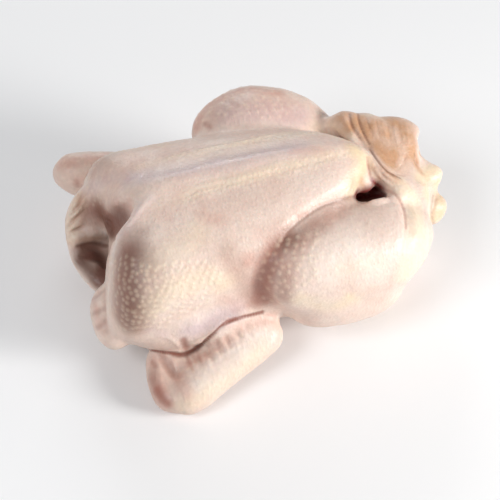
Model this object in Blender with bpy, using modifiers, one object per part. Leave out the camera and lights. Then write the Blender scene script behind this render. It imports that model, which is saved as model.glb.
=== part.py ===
"""A whole raw chicken, ready for the oven, lying on its back with its hocks tucked under a flap of skin.

Metres, +Z up. The tail end points along +X, the neck end along -X, and the near side is -Y, which is
the bird's own right. The origin is in the middle of the part's box, on the surface that the bird
lies on. The bird is one solid.
"""

import math

import bmesh
import bpy
import numpy as np
from mathutils import Matrix, Vector
from mathutils.bvhtree import BVHTree

# Driving sizes of the bird
BREAST_TOP = 0.110
BREAST_HALF_WIDTH = 0.055
LOBE_RADIUS = 0.031
LOBE_OFFSET = 0.025
NEAR_ELBOW = (-0.005, -0.056, 0.028)
NEAR_WRIST = (-0.072, -0.083, 0.010)
NEAR_HAND = (-0.001, 0.042, 0.003)
FAR_ELBOW = (-0.024, 0.072, 0.036)
FAR_WRIST = (-0.103, 0.087, 0.046)
FAR_HAND = (0.032, -0.006, -0.030)

LENGTHWISE = (1, 0, 0)

# Mesh sizes
SIDES = 40
ROWS = 48
FORM_GRAIN = 0.0022
SKIN_GRAIN = 0.0017
TRUNK_PASSES = 22
LEG_PASSES = 10
WING_PASSES = 5
LOOSE_SKIN_PASSES = 2
FACES = 11400
FLAT_CUT = 0.0022
STROKE_STEPS = 10
STROKE_END = 0.02


# Where the skin folds in, and where it stands up; each path is drawn onto the skin
CREASES = [
    [(-0.014, -0.056, 0.064), (-0.009, -0.051, 0.082), (0.010, -0.041, 0.092), (0.030, -0.032, 0.095),
     (0.048, -0.025, 0.093)],
    [(-0.006, -0.062, 0.046), (-0.022, -0.062, 0.042), (-0.036, -0.062, 0.034), (-0.050, -0.060, 0.027),
     (-0.062, -0.057, 0.021), (-0.070, -0.052, 0.021)],
    [(0.074, 0.030, 0.094), (0.072, 0.015, 0.093), (0.073, -0.003, 0.094), (0.080, -0.012, 0.090),
     (0.089, -0.016, 0.082)],
    [(0.066, 0.042, 0.084), (0.064, 0.030, 0.092), (0.066, 0.020, 0.094)],
    [(0.083, -0.026, 0.079), (0.080, -0.040, 0.083), (0.077, -0.051, 0.082), (0.072, -0.062, 0.075)],
    [(-0.072, -0.053, 0.021), (-0.069, -0.061, 0.020), (-0.066, -0.072, 0.021)],
    [(-0.047, -0.058, 0.046), (-0.047, -0.062, 0.038), (-0.051, -0.062, 0.032)],
]
CREASE_REACH = 0.005
CREASE_DEPTH = 0.0020
RIDGES = [
    [(-0.062, -0.006, 0.106), (-0.072, -0.014, 0.101), (-0.080, -0.018, 0.093), (-0.088, -0.018, 0.079),
     (-0.092, -0.018, 0.062), (-0.097, -0.026, 0.050), (-0.100, -0.040, 0.042)],
    [(-0.060, 0.000, 0.108), (-0.010, 0.000, 0.110), (0.040, 0.000, 0.110), (0.064, -0.001, 0.104)],
]
RIDGE_REACH = 0.008
RIDGE_HEIGHT = 0.0015


def clear_scene():
    for obj in list(bpy.data.objects):
        bpy.data.objects.remove(obj, do_unlink=True)


def new_collection(name):
    collection = bpy.data.collections.new(name)
    bpy.context.scene.collection.children.link(collection)
    return collection


def smooth_table(table, count):
    """Rows of a Catmull-Rom curve through the table's rows, evenly spaced along the table."""
    rows = np.array(table, float)
    padded = np.vstack([2 * rows[0] - rows[1], rows, 2 * rows[-1] - rows[-2]])
    place = np.linspace(0, len(rows) - 1, count)
    index = np.minimum(place.astype(int), len(rows) - 2)
    t = (place - index)[:, None]
    a, b, c, d = (padded[index + k] for k in range(4))
    return 0.5 * (2 * b + (c - a) * t + (2 * a - 5 * b + 4 * c - d) * t**2
                  + (3 * b - a - 3 * c + d) * t**3)


def spindle(name, stations, up=(0, 0, 1), square_to=None):
    """A closed muscle or roll of skin: a sphere that is drawn out along a curve.

    Each station is x, y, z, half width and half thickness. Its sections lie across the curve, or
    all across one direction where square_to gives it.
    """
    mesh = bpy.data.meshes.new(name)
    bm = bmesh.new()
    bmesh.ops.create_uvsphere(bm, u_segments=SIDES, v_segments=ROWS, radius=1.0)
    line = smooth_table(stations, ROWS + 1)
    tangents = np.gradient(line[:, :3], axis=0)
    for vert in bm.verts:
        polar = math.acos(max(-1.0, min(1.0, vert.co.z)))
        row = round(polar / math.pi * ROWS)
        along = Vector(square_to or tangents[row]).normalized()
        across = Vector(up).cross(along).normalized()
        over = along.cross(across)
        ring = math.sqrt(max(0.0, 1 - (2 * row / ROWS - 1) ** 6))
        turn = math.atan2(vert.co.y, vert.co.x)
        width, thickness = line[row, 3] * ring, line[row, 4] * ring
        if row in (0, ROWS):
            width = thickness = 0.0
        vert.co = (Vector(line[row, :3]) + across * (math.cos(turn) * width)
                   + over * (math.sin(turn) * thickness))
    bmesh.ops.recalc_face_normals(bm, faces=bm.faces)
    if bm.calc_volume(signed=True) < 0:
        bmesh.ops.reverse_faces(bm, faces=bm.faces)
    bm.to_mesh(mesh)
    bm.free()
    obj = bpy.data.objects.new(name, mesh)
    FORMS.objects.link(obj)
    return obj


def joined(name, pieces, grain, passes):
    """One closed skin over several overlapping pieces, with the joins smoothed as flesh is."""
    bm = bmesh.new()
    for piece in pieces:
        bm.from_mesh(piece.data)
        bpy.data.objects.remove(piece, do_unlink=True)
    mesh = bpy.data.meshes.new(name)
    bm.to_mesh(mesh)
    bm.free()
    obj = bpy.data.objects.new(name, mesh)
    FORMS.objects.link(obj)
    remesh = obj.modifiers.new("one_skin", "REMESH")
    remesh.mode = "VOXEL"
    remesh.voxel_size = grain
    if passes:
        smooth = obj.modifiers.new("flesh", "SMOOTH")
        smooth.iterations = passes
        smooth.factor = 0.5
    bake_modifiers(obj)
    return obj


def bake_modifiers(obj):
    """The modifiers' result becomes the object's own mesh."""
    graph = bpy.context.evaluated_depsgraph_get()
    graph.update()
    mesh = bpy.data.meshes.new_from_object(obj.evaluated_get(graph))
    obj.modifiers.clear()
    obj.data = mesh


def trunk():
    breast = spindle("breast", [
        (-0.090, 0, 0.068, 0.020, 0.016),
        (-0.083, 0, 0.069, 0.036, 0.024),
        (-0.070, 0, 0.071, 0.050, 0.031),
        (-0.040, 0, 0.072, BREAST_HALF_WIDTH, 0.034),
        (0.005, 0, 0.075, 0.050, 0.032),
        (0.040, 0, 0.081, 0.034, 0.026),
        (0.060, -0.001, 0.090, 0.018, 0.014),
        (0.070, -0.002, 0.095, 0.010, 0.008),
    ], square_to=LENGTHWISE)
    lobes = [spindle("lobe", [
        (-0.097, side * 0.037, 0.047, 0.012, 0.019),
        (-0.090, side * 0.034, 0.054, 0.022, 0.028),
        (-0.076, side * 0.030, 0.063, 0.029, 0.034),
        (-0.040, side * LOBE_OFFSET, 0.069, LOBE_RADIUS, LOBE_RADIUS),
        (0.005, side * 0.020, 0.073, 0.028, 0.029),
        (0.045, side * 0.010, 0.081, 0.016, 0.020),
    ], square_to=LENGTHWISE) for side in (-1, 1)]
    keel = spindle("keel", [
        (-0.088, 0, 0.078, 0.008, 0.010),
        (-0.078, 0, 0.087, 0.012, 0.013),
        (-0.060, 0, BREAST_TOP - 0.018, 0.016, 0.016),
        (-0.010, 0, BREAST_TOP - 0.015, 0.016, 0.015),
        (0.040, 0, BREAST_TOP - 0.014, 0.013, 0.012),
        (0.067, -0.001, BREAST_TOP - 0.016, 0.009, 0.009),
    ], square_to=LENGTHWISE)
    back = spindle("back", [
        (-0.090, 0, 0.036, 0.034, 0.024),
        (-0.050, 0, 0.036, 0.052, 0.036),
        (0.000, 0, 0.034, 0.052, 0.034),
        (0.050, 0, 0.034, 0.048, 0.034),
        (0.085, 0.000, 0.036, 0.029, 0.028),
        (0.101, 0.002, 0.036, 0.014, 0.017),
    ], square_to=LENGTHWISE)
    shoulders = [spindle("shoulder", [
        (-0.092, side * 0.032, 0.044, 0.012, 0.018),
        (-0.078, side * 0.038, 0.042, 0.019, 0.023),
        (-0.046, side * 0.046, 0.042, 0.018, 0.022),
    ], square_to=LENGTHWISE) for side in (-1, 1)]
    flanks = [spindle("flank", [
        (-0.050, side * 0.044, 0.048, 0.014, 0.022),
        (-0.018, side * 0.044, 0.048, 0.013, 0.022),
        (0.014, side * 0.046, 0.048, 0.015, 0.022),
    ], square_to=LENGTHWISE) for side in (-1, 1)]
    return joined("trunk", [breast, *lobes, keel, back, *shoulders, *flanks], FORM_GRAIN,
                  TRUNK_PASSES)


def near_leg():
    thigh = spindle("near_thigh", [
        (0.072, -0.036, 0.038, 0.026, 0.024),
        (0.046, -0.046, 0.040, 0.026, 0.026),
        (0.004, -0.047, 0.042, 0.021, 0.025),
    ])
    drumstick = spindle("near_drumstick", [
        (-0.012, -0.041, 0.058, 0.015, 0.019),
        (0.005, -0.043, 0.061, 0.025, 0.028),
        (0.038, -0.044, 0.060, 0.028, 0.030),
        (0.066, -0.042, 0.060, 0.027, 0.028),
        (0.085, -0.034, 0.058, 0.019, 0.021),
        (0.098, -0.023, 0.058, 0.011, 0.012),
    ])
    return joined("near_leg", [thigh, drumstick], FORM_GRAIN, LEG_PASSES)


def far_leg():
    thigh = spindle("far_thigh", [
        (0.060, 0.034, 0.034, 0.026, 0.024),
        (0.030, 0.050, 0.042, 0.028, 0.030),
        (-0.006, 0.052, 0.050, 0.020, 0.026),
    ])
    drumstick = spindle("far_drumstick", [
        (-0.018, 0.050, 0.066, 0.016, 0.018),
        (-0.003, 0.055, 0.070, 0.026, 0.027),
        (0.020, 0.056, 0.073, 0.029, 0.030),
        (0.044, 0.048, 0.073, 0.023, 0.024),
        (0.062, 0.036, 0.072, 0.014, 0.014),
        (0.090, 0.024, 0.074, 0.013, 0.013),
    ])
    return joined("far_leg", [thigh, drumstick], FORM_GRAIN, LEG_PASSES)


def between(start, end, part):
    """The point that lies the given part of the way from start to end."""
    return tuple(a + (b - a) * part for a, b in zip(start, end))


def wing(name, elbow, wrist, hand_turn):
    """The upper arm runs back along the flank, the forearm forward again, and the hand goes under.

    hand_turn is the way from the wrist to the tip of the hand.
    """
    side = math.copysign(1, wrist[1])
    upper_arm = spindle("upper_arm", [
        (-0.074, side * 0.042, 0.044, 0.018, 0.020),
        (-0.045, side * 0.046, elbow[2] + 0.012, 0.017, 0.018),
        (*elbow, 0.012, 0.012),
    ])
    forearm = spindle("forearm", [
        (*between(elbow, wrist, -0.06), 0.012, 0.012),
        (*between(elbow, wrist, 0.12), 0.014, 0.013),
        (*between(elbow, wrist, 0.50), 0.013, 0.012),
        (*between(elbow, wrist, 0.85), 0.013, 0.011),
        (*between(elbow, wrist, 1.03), 0.009, 0.009),
    ])
    tip = tuple(a + b for a, b in zip(wrist, hand_turn))
    hand = spindle("hand", [
        (*between(wrist, tip, -0.06), 0.008, 0.008),
        (*between(wrist, tip, 0.2), 0.011, 0.009),
        (*between(wrist, tip, 0.6), 0.011, 0.009),
        (*tip, 0.008, 0.007),
    ])
    # Loose skin closes the gap between forearm, hand and breast
    fold = between(elbow, wrist, 0.45)
    palm = between(wrist, tip, 0.45)
    web = spindle("web", [
        (*fold, 0.012, 0.008),
        (*between(fold, palm, 0.5), 0.020, 0.007),
        (*palm, 0.014, 0.008),
    ])
    tuck = spindle("tuck", [
        (-0.062, side * 0.040, 0.032, 0.012, 0.008),
        (-0.064, side * 0.050, 0.022, 0.013, 0.006),
        (*between(fold, palm, 0.5), 0.013, 0.006),
    ])
    return joined(name, [upper_arm, forearm, hand, web, tuck], FORM_GRAIN, WING_PASSES)


def hocks():
    """The ends of both legs cross at the tail, wrapped in loose skin."""
    block = spindle("block", [
        (0.080, 0.029, 0.077, 0.013, 0.013),
        (0.088, 0.023, 0.076, 0.016, 0.014),
        (0.095, 0.013, 0.075, 0.015, 0.015),
        (0.101, 0.004, 0.068, 0.012, 0.013),
    ])
    apron = spindle("apron", [
        (0.062, 0.014, 0.086, 0.010, 0.006),
        (0.070, 0.001, 0.085, 0.013, 0.006),
        (0.080, -0.010, 0.078, 0.015, 0.007),
        (0.093, -0.016, 0.070, 0.013, 0.008),
    ], up=(1, 0, 0))
    nub = spindle("nub", [
        (0.060, -0.010, 0.088, 0.006, 0.006),
        (0.064, -0.013, 0.083, 0.006, 0.006),
        (0.066, -0.015, 0.078, 0.005, 0.005),
    ])
    corner = spindle("corner", [
        (0.086, 0.030, 0.083, 0.008, 0.006),
        (0.098, 0.026, 0.082, 0.009, 0.007),
        (0.107, 0.020, 0.080, 0.008, 0.007),
        (0.110, 0.017, 0.078, 0.006, 0.006),
    ])
    cuff = spindle("cuff", [
        (0.072, 0.014, 0.085, 0.009, 0.006),
        (0.082, 0.008, 0.082, 0.013, 0.008),
        (0.091, 0.000, 0.076, 0.014, 0.009),
        (0.100, -0.008, 0.068, 0.012, 0.009),
    ])
    folds = [spindle("fold", [
        (x, 0.036, 0.066, 0.006, 0.012),
        (x + 0.001, 0.036, z, 0.006, 0.010),
        (x + 0.005, 0.023, 0.089, 0.006, 0.008),
        (x + 0.011, 0.010, 0.085, 0.006, 0.007),
    ], up=(1, 0, 0)) for x, z in ((0.066, 0.089), (0.078, 0.083))]
    gather = spindle("gather", [
        (0.098, 0.008, 0.070, 0.010, 0.010),
        (0.106, 0.004, 0.067, 0.008, 0.008),
        (0.112, 0.000, 0.064, 0.007, 0.007),
    ])
    shank_skin = spindle("shank_skin", [
        (0.075, -0.029, 0.079, 0.006, 0.005),
        (0.081, -0.026, 0.079, 0.007, 0.007),
        (0.090, -0.020, 0.074, 0.008, 0.008),
    ])
    strap = spindle("strap", [
        (0.099, 0.000, 0.070, 0.016, 0.012),
        (0.094, -0.020, 0.063, 0.013, 0.010),
        (0.083, -0.036, 0.053, 0.012, 0.009),
        (0.070, -0.049, 0.040, 0.012, 0.008),
        (0.052, -0.054, 0.030, 0.009, 0.007),
    ], up=(1, 0, 0))
    near_hock = spindle("near_hock", [
        (0.104, -0.004, 0.064, 0.010, 0.010),
        (0.113, -0.004, 0.064, 0.008, 0.009),
        (0.118, -0.006, 0.062, 0.006, 0.007),
    ])
    knob = spindle("knob", [
        (0.100, -0.014, 0.052, 0.012, 0.012),
        (0.112, -0.017, 0.049, 0.009, 0.011),
        (0.117, -0.018, 0.047, 0.006, 0.008),
    ])
    tail = spindle("tail", [
        (0.086, 0.003, 0.032, 0.017, 0.014),
        (0.105, 0.006, 0.036, 0.011, 0.010),
        (0.113, 0.006, 0.038, 0.007, 0.007),
    ])
    return joined("hocks", [block, corner, cuff, apron, nub, *folds, gather, shank_skin, strap, near_hock,
                            knob, tail], SKIN_GRAIN, LOOSE_SKIN_PASSES)


def neck():
    """Loose skin folded down round the cut neck."""
    far_roll = spindle("far_roll", [
        (-0.072, 0.036, 0.070, 0.010, 0.014),
        (-0.092, 0.032, 0.070, 0.008, 0.012),
        (-0.103, 0.023, 0.058, 0.006, 0.010),
        (-0.103, 0.011, 0.046, 0.006, 0.008),
        (-0.096, -0.003, 0.038, 0.007, 0.007),
        (-0.086, -0.014, 0.034, 0.008, 0.008),
    ])
    near_roll = spindle("near_roll", [
        (-0.086, -0.014, 0.042, 0.008, 0.009),
        (-0.099, -0.025, 0.043, 0.007, 0.011),
        (-0.098, -0.038, 0.036, 0.008, 0.010),
        (-0.090, -0.048, 0.033, 0.009, 0.010),
    ])
    neck_wall = spindle("neck_wall", [
        (-0.088, 0.030, 0.074, 0.012, 0.006),
        (-0.093, 0.022, 0.056, 0.014, 0.006),
        (-0.093, 0.010, 0.040, 0.014, 0.006),
        (-0.087, -0.006, 0.032, 0.012, 0.006),
    ], up=(0, 1, 0))
    return joined("neck", [far_roll, near_roll, neck_wall], SKIN_GRAIN, LOOSE_SKIN_PASSES)


def cut_out(obj, cutter):
    """Takes the cutter's shape away from the object."""
    cutter.hide_render = True
    cutter.display_type = "WIRE"
    FORMS.objects.unlink(cutter)
    CUTTERS.objects.link(cutter)
    hollow = obj.modifiers.new("hollow", "BOOLEAN")
    hollow.operation = "DIFFERENCE"
    hollow.object = cutter
    bake_modifiers(obj)
    bpy.data.objects.remove(cutter, do_unlink=True)


def neck_hollow():
    """The hollow of the cut neck goes down behind the roll of its skin, then back into the body."""
    return spindle("neck_hollow", [
        (-0.097, 0.012, 0.078, 0.010, 0.007),
        (-0.094, 0.010, 0.066, 0.011, 0.007),
        (-0.089, 0.007, 0.054, 0.012, 0.009),
        (-0.078, 0.005, 0.047, 0.012, 0.011),
        (-0.060, 0.005, 0.046, 0.009, 0.009),
        (-0.046, 0.005, 0.046, 0.005, 0.005),
    ])


def body_hollows():
    """The valley above the cut neck, and the mouth of the body under the breast's tip."""
    notch = spindle("notch", [
        (-0.100, 0.006, 0.062, 0.010, 0.012),
        (-0.091, -0.001, 0.079, 0.012, 0.012),
        (-0.081, -0.005, 0.091, 0.010, 0.009),
        (-0.069, -0.003, 0.103, 0.004, 0.004),
    ])
    mouth = spindle("mouth", [
        (0.080, -0.015, 0.087, 0.007, 0.007),
        (0.073, -0.016, 0.078, 0.010, 0.009),
        (0.063, -0.014, 0.069, 0.012, 0.009),
        (0.050, -0.008, 0.062, 0.011, 0.009),
        (0.034, -0.002, 0.058, 0.007, 0.007),
    ])
    return [notch, mouth]


def flat_base(obj, height):
    """Cuts the lowest part of the back off level, where the bird's weight flattens it."""
    bm = bmesh.new()
    bm.from_mesh(obj.data)
    cut = bmesh.ops.bisect_plane(bm, geom=bm.verts[:] + bm.edges[:] + bm.faces[:], dist=1e-6,
                                 plane_co=(0, 0, height), plane_no=(0, 0, -1), clear_outer=True)
    rim = [item for item in cut["geom_cut"] if isinstance(item, bmesh.types.BMEdge)]
    bmesh.ops.holes_fill(bm, edges=rim, sides=0)
    bmesh.ops.triangulate(bm, faces=bm.faces)
    bm.to_mesh(obj.data)
    bm.free()


def centre_on_base(obj):
    """Puts the middle of the box, on its lowest plane, at the origin."""
    corners = np.array([vert.co for vert in obj.data.vertices])
    low, high = corners.min(axis=0), corners.max(axis=0)
    obj.data.transform(Matrix.Translation((-(low[0] + high[0]) / 2, -(low[1] + high[1]) / 2, -low[2])))


def skin_material():
    material = bpy.data.materials.new("raw_skin")
    material.use_nodes = True
    shader = material.node_tree.nodes["Principled BSDF"]
    shader.inputs["Base Color"].default_value = (0.82, 0.66, 0.56, 1)
    shader.inputs["Roughness"].default_value = 0.42
    shader.inputs["Metallic"].default_value = 0
    return material


def press(obj, path, reach, depth):
    """Pushes the skin in along a path, or lifts it where the depth is negative; the path keeps to the skin."""
    mesh = obj.data
    count = len(mesh.vertices)
    points = np.empty(count * 3)
    normals = np.empty(count * 3)
    mesh.vertices.foreach_get("co", points)
    mesh.vertex_normals.foreach_get("vector", normals)
    points = points.reshape(-1, 3)
    normals = normals.reshape(-1, 3)
    skin = BVHTree.FromPolygons([v.co for v in mesh.vertices], [p.vertices[:] for p in mesh.polygons])
    line = smooth_table(path, STROKE_STEPS * (len(path) - 1) + 1)
    line = np.array([skin.find_nearest(Vector(point))[0] for point in line])
    steps = np.linspace(0, 1, len(line))
    strength = np.sqrt(np.sin(np.pi * (STROKE_END + (1 - 2 * STROKE_END) * steps)))
    near = np.flatnonzero(np.all((points > line.min(0) - reach) & (points < line.max(0) + reach), axis=1))
    gaps = np.linalg.norm(points[near, None, :] - line[None, :, :], axis=2)
    closest = gaps.argmin(axis=1)
    fall = np.clip(1 - (gaps.min(axis=1) / reach) ** 2, 0, 1) ** 2
    points[near] -= normals[near] * (fall * strength[closest] * depth)[:, None]
    mesh.vertices.foreach_set("co", points.ravel())
    mesh.update()


def chicken():
    body = joined("body", [trunk(), near_leg(), far_leg()], SKIN_GRAIN, LOOSE_SKIN_PASSES)
    for hollow in body_hollows():
        cut_out(body, hollow)
    pieces = [
        body,
        wing("near_wing", NEAR_ELBOW, NEAR_WRIST, NEAR_HAND),
        wing("far_wing", FAR_ELBOW, FAR_WRIST, FAR_HAND),
        hocks(),
        neck(),
    ]
    bird = joined("bird", pieces, SKIN_GRAIN, 0)
    cut_out(bird, neck_hollow())
    bird = joined("chicken", [bird], SKIN_GRAIN, LOOSE_SKIN_PASSES)
    for path in CREASES:
        press(bird, path, CREASE_REACH, CREASE_DEPTH)
    for path in RIDGES:
        press(bird, path, RIDGE_REACH, -RIDGE_HEIGHT)
    fewer = bird.modifiers.new("fewer_faces", "DECIMATE")
    fewer.ratio = FACES / (2 * len(bird.data.polygons))
    bake_modifiers(bird)
    flat_base(bird, FLAT_CUT)
    centre_on_base(bird)
    bird.data.materials.clear()
    bird.data.materials.append(skin_material())
    bird.data.shade_smooth()
    return bird


clear_scene()
FORMS = new_collection("whole_raw_chicken")
CUTTERS = new_collection("cutters")
chicken()
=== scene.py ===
"""Dresses a whole raw chicken: its skin with folds, feather follicles and colour, and a plain pale studio.

Metres, +Z up. The neck end points along -X, the tail end along +X, and the near side is -Y.
"""
import math
import random

import bmesh
import bpy
import numpy as np
from bpy.props import FloatProperty, FloatVectorProperty, PointerProperty
from mathutils import Matrix, Vector, noise
from mathutils.bvhtree import BVHTree
from mathutils.kdtree import KDTree


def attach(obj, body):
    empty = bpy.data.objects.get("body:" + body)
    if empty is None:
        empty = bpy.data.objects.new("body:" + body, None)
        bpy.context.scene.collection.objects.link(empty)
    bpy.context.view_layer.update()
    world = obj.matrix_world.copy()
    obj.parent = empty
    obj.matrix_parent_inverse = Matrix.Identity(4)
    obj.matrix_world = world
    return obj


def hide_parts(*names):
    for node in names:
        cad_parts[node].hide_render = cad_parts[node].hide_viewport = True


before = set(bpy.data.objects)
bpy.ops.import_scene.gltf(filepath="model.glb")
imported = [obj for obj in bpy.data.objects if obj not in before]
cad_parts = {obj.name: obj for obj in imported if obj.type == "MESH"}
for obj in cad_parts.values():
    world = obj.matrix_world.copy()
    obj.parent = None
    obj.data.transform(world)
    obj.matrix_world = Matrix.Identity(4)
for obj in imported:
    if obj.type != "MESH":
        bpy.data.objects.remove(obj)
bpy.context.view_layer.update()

bl_info = {
    "name": "Whole Raw Chicken",
    "version": (1, 0, 0),
    "blender": (4, 5, 0),
    "location": "3D View > Sidebar > Chicken",
    "description": "A raw, plucked chicken on a pale floor",
    "category": "Object",
}

BIRD = "chicken"

# The camera stands where the picture was taken from
PICTURE = 500
LENS = 85.0
SENSOR = 36.0
CAMERA_TURN = math.radians(-17)
CAMERA_RISE = math.radians(50)
CAMERA_TARGET = Vector((-0.0099, -0.0157, 0.0425))
CAMERA_DISTANCE = 0.708

# Mesh of the skin: vertices this close are one, the width of its faces, and how often it is smoothed,
# as a whole and where it is finer
DOUBLE = 1e-6
SKIN_GRAIN = 0.0017
FLESH_PASSES = 3
FINE_PASSES = 2

# Unevenness of the flesh: waves per metre, the share of the second wave, and the height above the floor
# from which it starts and over which it grows to its full depth
LONG_WAVE = 55
SHORT_WAVE = 130
SHORT_SHARE = 0.5
LEVEL_UNDERSIDE = 0.002
GROWS_OVER = 0.006

# Lines on the skin: steps between two given points, how shallow a fold ends, the reach of the finer mesh
# beside it in mm, and the depth at which the painted shade in a fold is at its darkest
STEPS_A_POINT = 8
STROKE_END = 0.03
FOLD_MARGIN = 1.5
DARK_FOLD = 0.0022

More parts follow.
